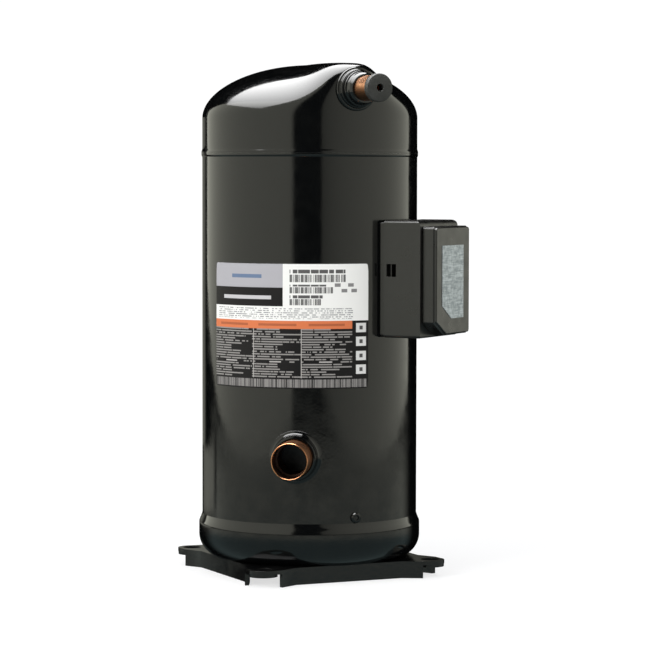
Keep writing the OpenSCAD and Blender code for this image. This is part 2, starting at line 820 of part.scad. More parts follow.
base_plate();
bottom_cup();
shell_tube();
top_cap();
oil_port_plug();
rating_label();
suction_collar();
suction_stub();
suction_deflector();
discharge_collar();
discharge_stub();
discharge_dust_cap();
muffler_plate();
fixed_scroll();
orbiting_scroll();
orbiting_scroll_bush();
oldham_ring();
floating_seal();
discharge_valve_disc();
valve_retainer();
scroll_guide_sleeves();
scroll_bolts();
main_bearing_housing();
main_bearing_bush();
crankshaft();
drive_bushing();
oil_pickup_tube();
upper_counterweight();
lower_counterweight();
rotor_core();
rotor_end_rings();
stator_core();
stator_winding();
motor_protector();
lower_bearing_bracket();
lower_bearing_bush();
thrust_washer();
sump_magnet();
motor_leads();
lead_plug();
terminal_body();
terminal_glass();
terminal_pins();
terminal_block();
terminal_screws();
terminal_box();
box_gasket();
box_screws();
ground_screw();
terminal_cover();
cover_plate();
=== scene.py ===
import math
import bpy
from mathutils import Matrix, Vector


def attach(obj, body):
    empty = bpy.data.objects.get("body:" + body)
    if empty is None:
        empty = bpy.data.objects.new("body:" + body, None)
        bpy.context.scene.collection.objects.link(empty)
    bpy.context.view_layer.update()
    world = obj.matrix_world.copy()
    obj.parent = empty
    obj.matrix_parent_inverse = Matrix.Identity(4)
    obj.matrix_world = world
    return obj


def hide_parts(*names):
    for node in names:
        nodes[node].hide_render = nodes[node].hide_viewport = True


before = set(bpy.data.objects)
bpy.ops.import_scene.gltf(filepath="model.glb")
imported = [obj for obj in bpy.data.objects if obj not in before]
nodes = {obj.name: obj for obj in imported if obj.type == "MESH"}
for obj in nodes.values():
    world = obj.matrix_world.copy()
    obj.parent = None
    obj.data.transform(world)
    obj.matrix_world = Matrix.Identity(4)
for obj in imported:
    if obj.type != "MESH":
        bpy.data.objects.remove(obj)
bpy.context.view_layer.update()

# ---- Camera ----
# A long lens a little below the middle of the shell's height, 25 degrees to the left of the
# discharge fitting, level but for a slight tilt down and a slight roll.
view_az = math.radians(-25)
toward_camera = Vector((math.sin(view_az), -math.cos(view_az), 0))
camera_right = Vector((math.cos(view_az), math.sin(view_az), 0))
camera_data = bpy.data.cameras.new("camera")
camera_data.lens = 157.7
camera_data.sensor_width = 36
camera_data.clip_end = 50
camera = bpy.data.objects.new("camera", camera_data)
bpy.context.scene.collection.objects.link(camera)
camera_place = toward_camera * 3.0 + camera_right * 0.0163 + Vector((0, 0, 0.423))
tilt_down = 3.12
roll = 0.1
camera.matrix_world = (Matrix.Translation(camera_place) @ Matrix.Rotation(view_az, 4, "Z")
                       @ Matrix.Rotation(math.radians(90 - tilt_down), 4, "X")
                       @ Matrix.Rotation(math.radians(roll), 4, "Z"))
bpy.context.scene.camera = camera


# ---- Studio ----
# A long lit panel at each side of a dark gap in front, and two small dimmer ones behind the
# shell to its left, all with feathered ends. Gloss sees these, a box overhead and the table;
# matt surfaces get the bounce of a white room and a key lamp.
def linear(code):
    channel = [int(code[i:i + 2], 16) / 255 for i in (1, 3, 5)]
    return [c / 12.92 if c <= 0.04045 else ((c + 0.055) / 1.055) ** 2.4 for c in channel] + [1.0]


def add(tree, kind, inputs=None, **settings):
    """Adds a node with its settings, and sets or links its inputs."""
    node = tree.nodes.new(kind)
    for name, value in settings.items():
        setattr(node, name, value)
    for key, value in (inputs or {}).items():
        if isinstance(value, bpy.types.NodeSocket):
            tree.links.new(value, node.inputs[key])
        else:
            node.inputs[key].default_value = value
    return node


world = bpy.data.worlds.new("studio")
bpy.context.scene.world = world
world.use_nodes = True
tree = world.node_tree
tree.nodes.clear()
aim = add(tree, "ShaderNodeTexCoord").outputs["Generated"]
# gloss sees black cloth, and in front of it the table: olive further off, blue and dim close by
height = add(tree, "ShaderNodeSeparateXYZ", {0: aim}).outputs["Z"]
ahead = add(tree, "ShaderNodeVectorMath", {0: aim, 1: toward_camera},
            operation="DOT_PRODUCT").outputs["Value"]
table = add(tree, "ShaderNodeMapRange", {"Value": height, "From Min": -0.105, "From Max": -0.088,
            "To Min": 1.0, "To Max": 0.015}, interpolation_type="SMOOTHSTEP").outputs[0]
in_front = add(tree, "ShaderNodeMapRange", {"Value": ahead, "From Min": -0.75, "From Max": -0.4},
               interpolation_type="SMOOTHSTEP").outputs[0]
far_off = add(tree, "ShaderNodeMapRange", {"Value": height, "From Min": -0.15, "From Max": -0.115},
              interpolation_type="SMOOTHSTEP").outputs[0]
close_by, further_off = (0.22, 0.3, 0.3, 1), (0.74, 0.75, 0.65, 1)
shade = add(tree, "ShaderNodeMix", {0: far_off, 6: close_by, 7: further_off}, data_type="RGBA").outputs[2]
level = add(tree, "ShaderNodeMath", {0: table, 1: in_front}, operation="MULTIPLY").outputs[0]
gloss = add(tree, "ShaderNodeBackground", {"Color": shade, "Strength": level}).outputs[0]
room = add(tree, "ShaderNodeBackground", {"Color": (0.97, 0.98, 1.0, 1), "Strength": 0.8}).outputs[0]
white = add(tree, "ShaderNodeBackground", {"Color": (1, 1, 1, 1), "Strength": 1.05}).outputs[0]
path = add(tree, "ShaderNodeLightPath")
mixed = add(tree, "ShaderNodeMixShader", {0: path.outputs["Is Glossy Ray"], 1: room, 2: gloss}).outputs[0]
mixed = add(tree, "ShaderNodeMixShader", {0: path.outputs["Is Camera Ray"], 1: mixed, 2: white}).outputs[0]
add(tree, "ShaderNodeOutputWorld", {"Surface": mixed})

bpy.context.scene.view_settings.view_transform = "Standard"
bpy.context.scene.view_settings.look = "None"


def soft_light(name, watts, width, depth):
    """A rectangular area lamp that the camera doesn't see, still at the origin and facing down."""
    lamp = bpy.data.lights.new(name, "AREA")
    lamp.shape, lamp.size, lamp.size_y, lamp.energy = "RECTANGLE", width, depth, watts
    lit = bpy.data.objects.new(name, lamp)
    bpy.context.scene.collection.objects.link(lit)
    lit.visible_camera = False
    return lit


def soft_box(name, levels, faces, left, right, top, away=1.6, foot=-0.02, blend=0.3):
    """A flat lit panel that only gloss sees, facing the shell from an angle off the camera.

    It has a level at each end, and it fades out over blend metres at both ends.
    """
    bpy.ops.object.select_all(action="DESELECT")
    bpy.ops.mesh.primitive_plane_add(size=1)
    panel = bpy.context.object
    panel.name = name
    outward = toward_camera * math.cos(math.radians(faces)) + camera_right * math.sin(math.radians(faces))
    along = camera_right * math.cos(math.radians(faces)) - toward_camera * math.sin(math.radians(faces))
    for vertex in panel.data.vertices:
        side = right if vertex.co.x > 0 else left
        up = top if vertex.co.y > 0 else foot
        vertex.co = outward * away + along * side + Vector((0, 0, up))
    lit = bpy.data.materials.new(name)
    lit.use_nodes = True
    tree = lit.node_tree
    tree.nodes.clear()
    spot = add(tree, "ShaderNodeTexCoord").outputs["Object"]
    side = add(tree, "ShaderNodeVectorMath", {0: spot, 1: along}, operation="DOT_PRODUCT").outputs["Value"]
    level = add(tree, "ShaderNodeMapRange", {"Value": side, "From Min": left, "From Max": right,
                "To Min": levels[0], "To Max": levels[1]}).outputs[0]
    for end, inward in ((left, blend), (right, -blend)):
        feather = add(tree, "ShaderNodeMapRange", {"Value": side, "From Min": end, "From Max": end + inward},
                      interpolation_type="SMOOTHSTEP").outputs[0]
        level = add(tree, "ShaderNodeMath", {0: level, 1: feather}, operation="MULTIPLY").outputs[0]
    glow = add(tree, "ShaderNodeEmission", {"Color": (1.0, 1.0, 0.86, 1), "Strength": level}).outputs[0]
    add(tree, "ShaderNodeOutputMaterial", {"Surface": glow})
    panel.data.materials.append(lit)
    panel.visible_camera = panel.visible_diffuse = panel.visible_shadow = False


soft_box("left_panel", (1.8, 1.0), -62, -9.0, 1.75, 2.25)
soft_box("right_panel", (0.35, 1.6), 72, -2.85, 2.7, 1.9)
soft_box("rear_left_panel", (0.25, 0.25), -166, -0.7, 0.7, 0.52)
soft_box("low_left_panel", (0.05, 0.85), -142, -0.6, 0.8, -0.02, foot=-0.13)
# the overhead box hangs low over the top cap, which mirrors it, and only gloss sees it
overhead = soft_light("overhead_box", 21, 1.0, 0.85)
overhead_place = toward_camera * 0.12 - camera_right * 0.30 + Vector((0, 0, 0.95))
overhead.matrix_world = Matrix.Translation(overhead_place) @ Matrix.Rotation(view_az, 4, "Z")
overhead.data.spread = math.radians(130)
overhead.visible_diffuse = False
# the key lamp lights the matt surfaces, and gloss doesn't see it
key = soft_light("key_left", 24, 1.0, 1.4)
key_place = toward_camera * 1.6 - camera_right * 1.5 + Vector((0, 0, 1.3))
key_aim = (Vector((0, 0, 0.3)) - key_place).to_track_quat("-Z", "Y").to_matrix().to_4x4()
key.matrix_world = Matrix.Translation(key_place) @ key_aim
key.visible_glossy = False

# ---- Floor ----
# A pale sheet of studio paper, lit almost to white.
bpy.ops.object.select_all(action="DESELECT")
bpy.ops.mesh.primitive_plane_add(size=14, location=(0, 0, -0.0002))
floor = bpy.context.object
floor.name = "floor"
paper = bpy.data.materials.new("studio_paper")
paper.use_nodes = True
tree = paper.node_tree
tree.nodes.clear()
grain = add(tree, "ShaderNodeTexNoise", {"Scale": 900.0, "Detail": 2.0,
            "Vector": add(tree, "ShaderNodeTexCoord").outputs["Object"]}).outputs[0]
bump = add(tree, "ShaderNodeBump", {"Strength": 0.1, "Distance": 0.0002, "Height": grain}).outputs[0]
shader = add(tree, "ShaderNodeBsdfPrincipled", {"Base Color": (0.45, 0.45, 0.45, 1), "Roughness": 0.9,
             "Normal": bump, "Specular IOR Level": 0.0, "Emission Color": (1, 1, 1, 1),
             "Emission Strength": 0.68}).outputs[0]
add(tree, "ShaderNodeOutputMaterial", {"Surface": shader})
floor.data.materials.append(paper)
floor.visible_glossy = False

# ---- Shell tube ----
# A rolled steel tube, welded along a ring to each end cap, with holes for the suction
# fitting and the motor terminal. Stove-enamelled gloss black.
black_enamel = bpy.data.materials.new("stoved_enamel_gloss_black")
black_enamel.use_nodes = True
tree = black_enamel.node_tree
tree.nodes.clear()
# gloss of a baked enamel: sharp reflections, softened by an orange peel about 3 mm across
spot = add(tree, "ShaderNodeTexCoord").outputs["Object"]
peel = add(tree, "ShaderNodeTexNoise", {"Vector": spot, "Scale": 330.0, "Detail": 2.0,
           "Roughness": 0.5}).outputs[0]
swell = add(tree, "ShaderNodeTexNoise", {"Vector": spot, "Scale": 28.0, "Detail": 1.0}).outputs[0]
bump = add(tree, "ShaderNodeBump", {"Strength": 0.05, "Distance": 0.0004, "Height": peel}).outputs[0]
bump = add(tree, "ShaderNodeBump", {"Strength": 0.06, "Distance": 0.002, "Height": swell,
           "Normal": bump}).outputs[0]
dust = add(tree, "ShaderNodeTexNoise", {"Vector": spot, "Scale": 60.0, "Detail": 4.0,
           "Roughness": 0.65}).outputs[0]
sheen = add(tree, "ShaderNodeMapRange", {"Value": dust, "From Min": 0.35, "From Max": 0.7,
            "To Min": 0.07, "To Max": 0.14}).outputs[0]
tone = add(tree, "ShaderNodeMix", {0: dust, 6: linear("#050607"), 7: linear("#0a0b0b")},
           data_type="RGBA").outputs[2]
shader = add(tree, "ShaderNodeBsdfPrincipled", {"Base Color": tone, "Roughness": sheen, "Normal": bump,
             "IOR": 1.5}).outputs[0]
add(tree, "ShaderNodeOutputMaterial", {"Surface": shader})


def spun(name, profile, steps=128, smooth=30):
    """A profile of (radius, height) in millimetres, extruded point by point and spun about Z."""
    bpy.ops.object.select_all(action="DESELECT")
    bpy.ops.mesh.primitive_plane_add(size=0.001, enter_editmode=True)
    bpy.ops.mesh.merge(type="CENTER")
    points = [Vector((r / 1000, 0, z / 1000)) for r, z in profile]
    bpy.ops.transform.translate(value=points[0])
    for a, b in zip(points, points[1:]):
        bpy.ops.mesh.extrude_region_move(TRANSFORM_OT_translate={"value": b - a})
    bpy.ops.mesh.select_all(action="SELECT")
    bpy.ops.mesh.spin(steps=steps, angle=math.tau, center=(0, 0, 0), axis=(0, 0, 1))
    bpy.ops.mesh.select_all(action="SELECT")
    bpy.ops.mesh.remove_doubles(threshold=0.000004)
    bpy.ops.mesh.normals_make_consistent(inside=False)
    bpy.ops.object.mode_set(mode="OBJECT")
    piece = bpy.context.object
    piece.name = piece.data.name = name
    bpy.ops.object.shade_smooth_by_angle(angle=math.radians(smooth))
    return piece


def dress(piece, material, slot, body, *stands_for):
    """Gives a piece its finish, its body and the CAD nodes that it stands for."""
    piece.data.materials.clear()
    piece.data.materials.append(material)
    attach(piece, body)
    if stands_for:
        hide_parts(*stands_for)


def bore_through(piece, radius, start, depth, az, z):
    """Cuts a round hole into the piece, along the radius at an angle from the front, all in millimetres."""
    bpy.ops.object.select_all(action="DESELECT")
    bpy.ops.mesh.primitive_cylinder_add(vertices=64, radius=radius / 1000, depth=depth / 1000)
    tool = bpy.context.object
    middle = Matrix.Translation((0, -(start + depth / 2) / 1000, z / 1000))
    tool.matrix_world = (Matrix.Rotation(math.radians(az), 4, "Z") @ middle
                         @ Matrix.Rotation(math.radians(90), 4, "X"))
    cut = piece.modifiers.new("hole", "BOOLEAN")
    cut.operation, cut.object, cut.solver = "DIFFERENCE", tool, "EXACT"
    bpy.ops.object.select_all(action="DESELECT")
    bpy.context.view_layer.objects.active = piece
    piece.select_set(True)
    bpy.ops.object.modifier_apply(modifier="hole")
    bpy.data.objects.remove(tool)


shell_r, shell_inner_r, seam_z = 113, 109, 440
suction_az, suction_z = -32, 130.5
bead = [(shell_r + 0.95 * math.cos(math.radians(a)) ** 0.7, seam_z + 3.4 * math.sin(math.radians(a)))
        for a in (-72, -50, -28, -8)]
rows = list(range(42, 430, 12))
shell = spun("shell_tube_piece",
             [(shell_inner_r, 41.5)] + [(shell_r, z) for z in rows] + [(shell_r, 434), (113.05, 436.4)] + bead
             + [(113.9, 439.9), (shell_inner_r, 439.9)] + [(shell_inner_r, z) for z in rows[::-1]]
             + [(shell_inner_r, 41.5)], steps=160)
bore_through(shell, radius=18.85, start=95, depth=30, az=suction_az, z=suction_z)
bore_through(shell, radius=24.05, start=95, depth=30, az=37.5, z=311.5)
dress(shell, black_enamel, "black_enamel", "housing", "shell_tube")

# ---- Bottom cup ----
# A deep-drawn steel cup that the tube stands in, welded round its rim. Same enamel.
turn_r, turn_z = 92.4, 40
outer_turn = [(turn_r + 24 * math.cos(math.radians(a)), turn_z - 24 * math.sin(math.radians(a)))
              for a in range(90, -1, -6)]
inner_turn = [(turn_r + 20 * math.cos(math.radians(a)), turn_z - 20 * math.sin(math.radians(a)))
              for a in range(0, 91, 9)]
rim = [(116.4, 51), (116.35, 53), (115.9, 54.6), (115.0, 56.6), (114.1, 58.8), (113.5, 60.6), (113.1, 62),
       (113.06, 62), (113.06, 41), (112.4, 40.5)]
cup = spun("bottom_cup_piece", [(0, 16)] + outer_turn + rim + inner_turn + [(0, 20)], steps=160, smooth=35)
dress(cup, black_enamel, "black_enamel", "housing", "bottom_cup")

# ---- Top cap ----
# A pressed steel cap. Its dome is squared off into a pod where the discharge fitting
# leaves, so that the fitting meets a vertical wall. Welded on, same enamel.
shoulder_z, dome_rise = 477, 55.5
# the dome's rows are closest just above the shoulder, where the pod is squared off
dome_rows = ([0, 0.5, 1, 1.75, 2.5, 3.5, 5, 6.5] + list(range(8, 31, 2))
             + [30 + 2.5 * step for step in range(1, 24)])
dome = [(shell_r * math.cos(math.radians(a)), shoulder_z + dome_rise * math.sin(math.radians(a)))
        for a in dome_rows]
cap = spun("top_cap_piece",
           [(shell_inner_r, 440.1), (113.9, 440.1)] + [(r, 2 * seam_z - z) for r, z in bead[::-1]]
           + [(shell_r, z) for z in (445, 452, 460, 468)] + dome + [(0, shoulder_z + dome_rise)],
           steps=240, smooth=60)
# squareness of the dome, 2 being a plain ellipse, and of the pod, which fades at an angle from its middle
dome_square, pod_square, pod_angle = 1.92, 12, 12


def pod_shape(v, radius=shell_r / 1000, rise=dome_rise / 1000, shoulder=shoulder_z / 1000):
    """Moves a point of a plain elliptical dome out to the squarer section that the pod has at that angle."""
    if v.z <= shoulder or math.hypot(v.x, v.y) < 1e-6:
        return
    azimuth = abs(math.degrees(math.atan2(v.x, -v.y)))
    n = dome_square + (pod_square - dome_square) / (1 + (azimuth / pod_angle) ** 3)
    psi = math.atan2((v.z - shoulder) / rise, math.hypot(v.x, v.y) / radius)
    rho = (math.cos(psi) ** n + math.sin(psi) ** n) ** (-1 / n)
    out = radius * rho * math.cos(psi) / math.hypot(v.x, v.y)
    v.x, v.y, v.z = v.x * out, v.y * out, shoulder + rise * rho * math.sin(psi)


for vertex in cap.data.vertices:
    pod_shape(vertex.co)
dress(cap, black_enamel, "black_enamel", "housing", "top_cap")

# ---- Discharge fitting ----
# A turned steel collar welded into the pod, stepped and chamfered, with a copper stub
# brazed into it. The collar is enamelled with the shell; the stub is masked.
discharge_z = 505


def aimed(piece, az, z):
    """Turns a piece made about Z so that it points out along the radius at an angle from the front."""
    piece.data.transform(Matrix.Rotation(math.radians(az), 4, "Z") @ Matrix.Translation((0, 0, z / 1000))
                         @ Matrix.Rotation(math.radians(90), 4, "X"))
    return piece


# from its foot outwards: a weld bead, two steps with rounded edges, and a chamfered nose
collar_profile = [
    (12.65, 97), (21.4, 97), (21.4, 112.2), (22.2, 112.9), (22.4, 114.0), (21.9, 115.1), (20.9, 115.6),
    (20.2, 115.6), (19.7, 116.2), (19.6, 117.6), (19.2, 118.3), (18.5, 118.5), (18.3, 119.0),
    (18.3, 122.0), (18.5, 122.6), (18.5, 124.6), (18.2, 125.2), (17.0, 125.8), (16.6, 126.6),
    (16.5, 130.6), (16.2, 131.6), (15.2, 133.6), (14.6, 134.3), (13.6, 134.5), (12.65, 134.5), (12.65, 97)]
collar = aimed(spun("discharge_collar_piece", collar_profile, steps=96, smooth=34), 0, discharge_z)
dress(collar, black_enamel, "black_enamel", "housing", "discharge_collar")

copper = bpy.data.materials.new("drawn_copper_tube")
copper.use_nodes = True
tree = copper.node_tree
tree.nodes.clear()
# drawn tube: fine lines along it, redder where it has been heated and handled
spot = add(tree, "ShaderNodeTexCoord").outputs["Object"]
tarnish = add(tree, "ShaderNodeTexNoise", {"Vector": spot, "Scale": 60.0, "Detail": 3.0,
              "Roughness": 0.5}).outputs[0]
tone = add(tree, "ShaderNodeValToRGB", {0: tarnish})
tone.color_ramp.elements[0].position, tone.color_ramp.elements[0].color = 0.34, linear("#955f40")
tone.color_ramp.elements[1].position, tone.color_ramp.elements[1].color = 0.62, linear("#d89c72")
rough = add(tree, "ShaderNodeMapRange", {"Value": tarnish, "From Min": 0.3, "From Max": 0.7,
            "To Min": 0.38, "To Max": 0.24}).outputs[0]
lines = add(tree, "ShaderNodeTexNoise", {"Vector": spot, "Scale": 1400.0, "Detail": 2.0}).outputs[0]
bump = add(tree, "ShaderNodeBump", {"Strength": 0.12, "Distance": 0.0001, "Height": lines}).outputs[0]
shader = add(tree, "ShaderNodeBsdfPrincipled", {"Base Color": tone.outputs[0], "Metallic": 1.0,
             "Roughness": rough, "Normal": bump}).outputs[0]
add(tree, "ShaderNodeOutputMaterial", {"Surface": shader})

stub_profile = [
    (10.0, 97), (12.6, 97), (12.6, 134.4), (12.6, 163.2), (12.3, 163.7), (11.7, 164), (11.3, 163.8),
    (11.15, 163.3), (11.15, 139), (10.0, 138.6), (10.0, 97)]
stub = aimed(spun("discharge_stub_piece", stub_profile, steps=96), 0, discharge_z)
dress(stub, copper, "copper", "housing", "discharge_stub")

# ---- Dust cap ----
# A moulded rubber cap pushed over the discharge stub to keep it clean until it is piped,
# with a small vent hole through its face.
rubber = bpy.data.materials.new("moulded_nitrile_rubber")
rubber.use_nodes = True
tree = rubber.node_tree
tree.nodes.clear()
# matt and slightly greyed, with a fine mould texture and a little bloom
spot = add(tree, "ShaderNodeTexCoord").outputs["Object"]
bloom = add(tree, "ShaderNodeTexNoise", {"Vector": spot, "Scale": 90.0, "Detail": 5.0,
            "Roughness": 0.7}).outputs[0]
tone = add(tree, "ShaderNodeValToRGB", {0: bloom})
tone.color_ramp.elements[0].position, tone.color_ramp.elements[0].color = 0.35, linear("#171816")
tone.color_ramp.elements[1].position, tone.color_ramp.elements[1].color = 0.7, linear("#282927")
grit = add(tree, "ShaderNodeTexNoise", {"Vector": spot, "Scale": 1800.0, "Detail": 2.0}).outputs[0]
bump = add(tree, "ShaderNodeBump", {"Strength": 0.25, "Distance": 0.0001, "Height": grit}).outputs[0]
shader = add(tree, "ShaderNodeBsdfPrincipled", {"Base Color": tone.outputs[0], "Roughness": 0.58,
             "Normal": bump}).outputs[0]
add(tree, "ShaderNodeOutputMaterial", {"Surface": shader})

dust_cap_profile = [
    (3.7, 164.2), (3.7, 167.6), (4.0, 168), (12.6, 168), (13.7, 167.6), (14.2, 166.7), (14.3, 165.5),
    (14.3, 161.2), (14.0, 160.3), (13.4, 160), (12.8, 160.1), (12.65, 160.5), (12.65, 164.2), (3.7, 164.2)]
dust_cap = aimed(spun("dust_cap_piece", dust_cap_profile, steps=96), 0, discharge_z)
dress(dust_cap, rubber, "cap_rubber", "dust_cap", "discharge_dust_cap")

# ---- Suction fitting ----
# A steel collar with a weld round its foot, and a copper stub brazed into it with its
# mouth sized to take the suction line. Inside it a bent sheet turns the gas down.
bore_shade_copper = bpy.data.materials.new("copper_with_painted_bore_shade")
bore_shade_copper.use_nodes = True
tree = bore_shade_copper.node_tree
tree.nodes.clear()
# the bore: painted shade, brown-black and duller than the outside
spot = add(tree, "ShaderNodeTexCoord").outputs["Object"]
bore_shade_mottle = add(tree, "ShaderNodeTexNoise", {"Vector": spot, "Scale": 90.0, "Detail": 4.0}).outputs[0]
tone = add(tree, "ShaderNodeValToRGB", {0: bore_shade_mottle})
tone.color_ramp.elements[0].position, tone.color_ramp.elements[0].color = 0.35, linear("#21130d")
tone.color_ramp.elements[1].position, tone.color_ramp.elements[1].color = 0.7, linear("#4a2d20")
shader = add(tree, "ShaderNodeBsdfPrincipled", {"Base Color": tone.outputs[0], "Metallic": 0.6,
             "Roughness": 0.5}).outputs[0]
add(tree, "ShaderNodeOutputMaterial", {"Surface": shader})


def shade_bore_faces(piece, radius, reach):
    """Gives the faces of a bore, still about the Z axis, the painted-shade finish up to a height in
    millimetres.
    """
    piece.data.materials.clear()
    piece.data.materials.append(copper)
    piece.data.materials.append(bore_shade_copper)
    for face in piece.data.polygons:
        inside = math.hypot(face.center.x, face.center.y) < radius / 1000 and face.center.z < reach / 1000
        face.material_index = int(inside)


foot = [(27 - 4.2 * math.sin(math.radians(a)), 113.2 + 4.4 * (1 - math.cos(math.radians(a))))
        for a in range(0, 91, 15)]
nose = [(22.8, 124.6), (22.4, 125.5), (21.6, 126), (20.2, 126), (19.6, 125.2), (18.85, 125)]
collar_profile = [(18.85, 106), (27.2, 106), (27.2, 111.5)] + foot + nose + [(18.85, 106)]
collar = spun("suction_collar_piece", collar_profile, steps=96, smooth=34)
coped_below, shell_m, clear_of_shell = 0.1195, shell_r / 1000, 0.11305
for vertex in collar.data.vertices:        # the foot is coped to sit on the round shell
    if vertex.co.z < coped_below:
        vertex.co.z -= shell_m - math.sqrt(shell_m ** 2 - vertex.co.x ** 2)
        vertex.co.z = max(vertex.co.z, math.sqrt(clear_of_shell ** 2 - vertex.co.x ** 2))
aimed(collar, suction_az, suction_z)
dress(collar, black_enamel, "black_enamel", "housing", "suction_collar")
stub_profile = [
    (15.55, 101), (18.8, 101), (18.8, 126), (18.8, 158), (18.65, 158.6), (18.3, 158.95), (18.05, 158.95),
    (17.7, 158.6), (17.55, 158), (17.55, 155), (17.55, 134), (15.55, 133.6), (15.55, 101)]
stub = spun("suction_stub_piece", stub_profile, steps=96)
dress(stub, copper, "copper", "housing", "suction_stub")
# the inside of the stub's bore is painted dark as shade
shade_bore_faces(stub, radius=17.7, reach=156)
aimed(stub, suction_az, suction_z)

# ---- Oil port plug ----
# A small steel plug brazed into the shell over the seam, with a dimple in its head.
plug_profile = [
    (0, 114.6), (1.9, 114.6), (2.2, 115.0), (2.6, 115.9), (3.4, 116), (4.6, 115.7), (5.3, 114.9),
    (5.5, 113.8), (5.5, 112.8), (4, 112.6), (4, 109), (0, 109)]
plug = aimed(spun("oil_port_plug_piece", plug_profile, steps=48), 0, 67.7)
dress(plug, black_enamel, "black_enamel", "housing", "oil_port_plug")


# ---- Base plate ----
# Pressed from one steel sheet: four ears with holes, a side flange between each two of
# them that flares at its ends, and a lip turned down round each ear. Welded to the cup.
def softened(node, name, width):
    """A merged copy of a CAD node with its sharp edges rounded over a width in millimetres."""
    piece = bpy.data.objects.new(name, nodes[node].data.copy())
    bpy.context.scene.collection.objects.link(piece)
    bpy.ops.object.select_all(action="DESELECT")
    bpy.context.view_layer.objects.active = piece
    piece.select_set(True)
    bpy.ops.object.mode_set(mode="EDIT")
    bpy.ops.mesh.select_all(action="SELECT")
    bpy.ops.mesh.remove_doubles(threshold=0.00002)
    bpy.ops.mesh.dissolve_limited(angle_limit=math.radians(1.5))
    bpy.ops.object.mode_set(mode="OBJECT")
    bevel = piece.modifiers.new("soft_edges", "BEVEL")
    bevel.width, bevel.segments, bevel.use_clamp_overlap = width / 1000, 3, True
    bevel.limit_method, bevel.angle_limit = "ANGLE", math.radians(30)
    bpy.ops.object.modifier_apply(modifier="soft_edges")
    bpy.ops.object.shade_smooth_by_angle(angle=math.radians(38))
    flats = piece.modifiers.new("flats", "WEIGHTED_NORMAL")
    flats.mode, flats.weight, flats.keep_sharp = "FACE_AREA", 100, True
    bpy.ops.object.modifier_apply(modifier="flats")
    return piece


base_paint = bpy.data.materials.new("dip_painted_steel_black")
base_paint.use_nodes = True
tree = base_paint.node_tree
tree.nodes.clear()
# the dip coat on the base is less even than the shell's enamel, with a satin patch here and there
spot = add(tree, "ShaderNodeTexCoord").outputs["Object"]
patch = add(tree, "ShaderNodeTexNoise", {"Vector": spot, "Scale": 45.0, "Detail": 5.0,
            "Roughness": 0.62}).outputs[0]
tone = add(tree, "ShaderNodeValToRGB", {0: patch})
tone.color_ramp.elements[0].position, tone.color_ramp.elements[0].color = 0.35, linear("#0b0b0c")
tone.color_ramp.elements[1].position, tone.color_ramp.elements[1].color = 0.7, linear("#161615")
rough = add(tree, "ShaderNodeMapRange", {"Value": patch, "From Min": 0.35, "From Max": 0.65,
            "To Min": 0.09, "To Max": 0.2}).outputs[0]
orange = add(tree, "ShaderNodeTexNoise", {"Vector": spot, "Scale": 260.0, "Detail": 2.0}).outputs[0]
bump = add(tree, "ShaderNodeBump", {"Strength": 0.12, "Distance": 0.0005, "Height": orange}).outputs[0]
shader = add(tree, "ShaderNodeBsdfPrincipled", {"Base Color": tone.outputs[0], "Roughness": rough,
             "Normal": bump}).outputs[0]
add(tree, "ShaderNodeOutputMaterial", {"Surface": shader})
base = softened("base_plate", "base_plate_piece", 1.5)
dress(base, base_paint, "base_paint", "housing", "base_plate")

# ---- Rating label ----
# A printed polyester film stuck round the front left of the shell. The printing is plain
# blocks, bars and broken lines that stand for text.
film_left, film_sweep = -82.75, 90        # degrees round the shell from the front
film_foot, film_height = 0.2005, 0.127
film = bpy.data.materials.new("printed_polyester_film")
film.use_nodes = True
tree = film.node_tree
tree.nodes.clear()
spot = add(tree, "ShaderNodeTexCoord").outputs["Object"]
place = add(tree, "ShaderNodeSeparateXYZ", {0: spot}).outputs
behind = add(tree, "ShaderNodeMath", {0: place["Y"], 1: -1.0}, operation="MULTIPLY").outputs[0]
around = add(tree, "ShaderNodeMath", {0: place["X"], 1: behind}, operation="ARCTAN2").outputs[0]
across = add(tree, "ShaderNodeMapRange", {"Value": around, "From Min": math.radians(film_left),
             "From Max": math.radians(film_left + film_sweep)}, clamp=False).outputs[0]
down = add(tree, "ShaderNodeMapRange", {"Value": place["Z"], "From Min": film_foot + film_height,
           "From Max": film_foot}, clamp=False).outputs[0]
spot_uv = add(tree, "ShaderNodeCombineXYZ", {0: across, 1: down}).outputs[0]


def inked(colour, ink, mask, strength=1.0):
    """Lays ink over colour where the mask is 1, as strongly as strength says."""
    mask = add(tree, "ShaderNodeMath", {0: mask, 1: strength}, operation="MULTIPLY").outputs[0]
    return add(tree, "ShaderNodeMix", {0: mask, 6: colour, 7: ink}, data_type="RGBA").outputs[2]


def printed(colour, ink, left, right, top, bottom, strength=1.0):
    """Prints ink over colour in a rectangle given as shares of the label's width and height."""
    centre = ((left + right) / 2, (top + bottom) / 2, 0)
    off = add(tree, "ShaderNodeVectorMath", {0: spot_uv, 1: centre}, operation="SUBTRACT").outputs[0]
    off = add(tree, "ShaderNodeVectorMath", {0: off}, operation="ABSOLUTE").outputs[0]
    half = ((right - left) / 2, (bottom - top) / 2, 1)
    off = add(tree, "ShaderNodeVectorMath", {0: half, 1: off}, operation="SUBTRACT").outputs[0]
    parts = add(tree, "ShaderNodeSeparateXYZ", {0: off}).outputs
    inside = add(tree, "ShaderNodeMath", {0: parts["X"], 1: parts["Y"]}, operation="MINIMUM").outputs[0]
    inside = add(tree, "ShaderNodeMath", {0: inside, 1: 0.0}, operation="GREATER_THAN").outputs[0]
    return inked(colour, ink, inside, strength)


